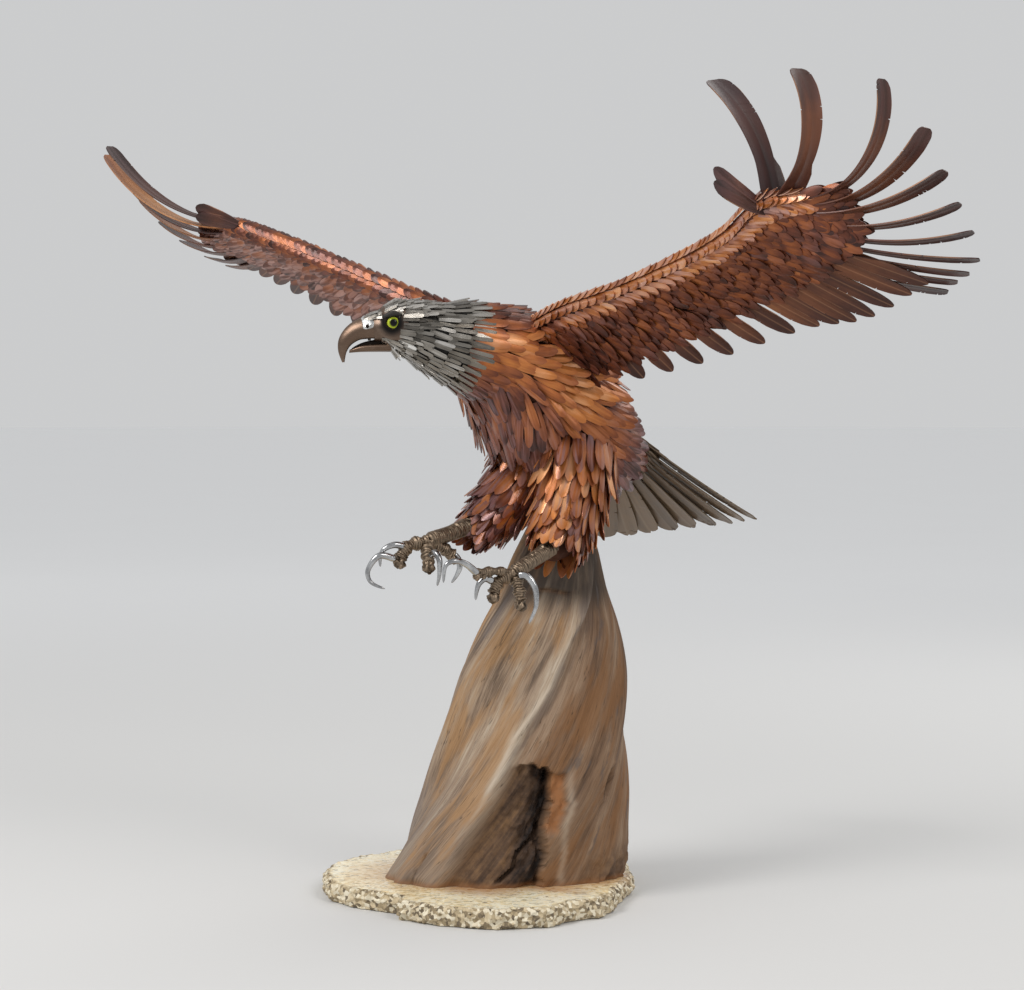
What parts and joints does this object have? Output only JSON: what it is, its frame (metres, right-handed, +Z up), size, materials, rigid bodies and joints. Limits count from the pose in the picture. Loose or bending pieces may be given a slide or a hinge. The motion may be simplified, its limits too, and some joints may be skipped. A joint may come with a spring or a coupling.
{
  "type": "scrap metal eagle sculpture",
  "caption": "Welded scrap metal eagle with raised wings and open talons, landing on a driftwood stump that stands on a broken granite slab.",
  "frame": {"origin": "centre of the granite slab's underside, which is the face the sculpture stands on", "axes": "+Z is up. -Y is the way the eagle faces. +X is the side of its left wing and lies along the wing span, the longest extent."},
  "size_m": [1.5597, 0.6955, 1.2085],
  "materials": {
    "granite": "polished cream granite top, rough broken edge, rust-stained round the stump",
    "driftwood": "weathered grey-brown driftwood with ochre streaks",
    "copper": "heat-coloured orange-brown copper sheet, satin",
    "dark_copper": "dark brown patinated copper sheet, satin",
    "grey_steel": "dull grey stainless strips, olive-brown on the throat",
    "beak_metal": "satin brown heat-coloured steel with a silver cere",
    "eye_glass": "yellow-green glass with a black pupil",
    "bronze_weld": "bronze-brown weld beads",
    "polished_steel": "bright polished stainless steel",
    "tail_metal": "dull khaki-grey patinated sheet"
  },
  "bodies": {
    "root": {"granite_slab": "granite", "driftwood_stump": "driftwood", "body": "copper", "head_hood": "grey_steel", "beak_upper": "beak_metal", "beak_lower": "beak_metal", "eye_right": "eye_glass", "eye_left": "eye_glass", "left_wing": "copper", "left_primary_01": "dark_copper", "left_primary_02": "dark_copper", "left_primary_03": "dark_copper", "left_primary_04": "dark_copper", "left_primary_05": "dark_copper", "left_primary_06": "dark_copper", "left_primary_07": "dark_copper", "left_primary_08": "dark_copper", "left_primary_09": "dark_copper", "left_primary_10": "dark_copper", "left_primary_11": "dark_copper", "left_alula": "dark_copper", "right_wing": "copper", "right_primary_01": "dark_copper", "right_primary_02": "dark_copper", "right_primary_03": "dark_copper", "right_primary_04": "dark_copper", "right_primary_05": "dark_copper", "right_primary_06": "dark_copper", "right_primary_07": "dark_copper", "right_primary_08": "dark_copper", "right_alula": "dark_copper", "left_leg": "bronze_weld", "left_talon_1": "polished_steel", "left_talon_2": "polished_steel", "left_talon_3": "polished_steel", "right_leg": "bronze_weld", "right_talon_1": "polished_steel", "right_talon_2": "polished_steel", "right_talon_3": "polished_steel", "right_talon_4": "polished_steel", "tail_feather_1": "tail_metal", "tail_feather_2": "tail_metal", "tail_feather_3": "tail_metal", "tail_feather_4": "tail_metal", "tail_feather_5": "tail_metal", "tail_feather_6": "tail_metal", "tail_feather_7": "tail_metal", "tail_feather_8": "tail_metal", "tail_feather_9": "tail_metal"}
  },
  "joints": []
}
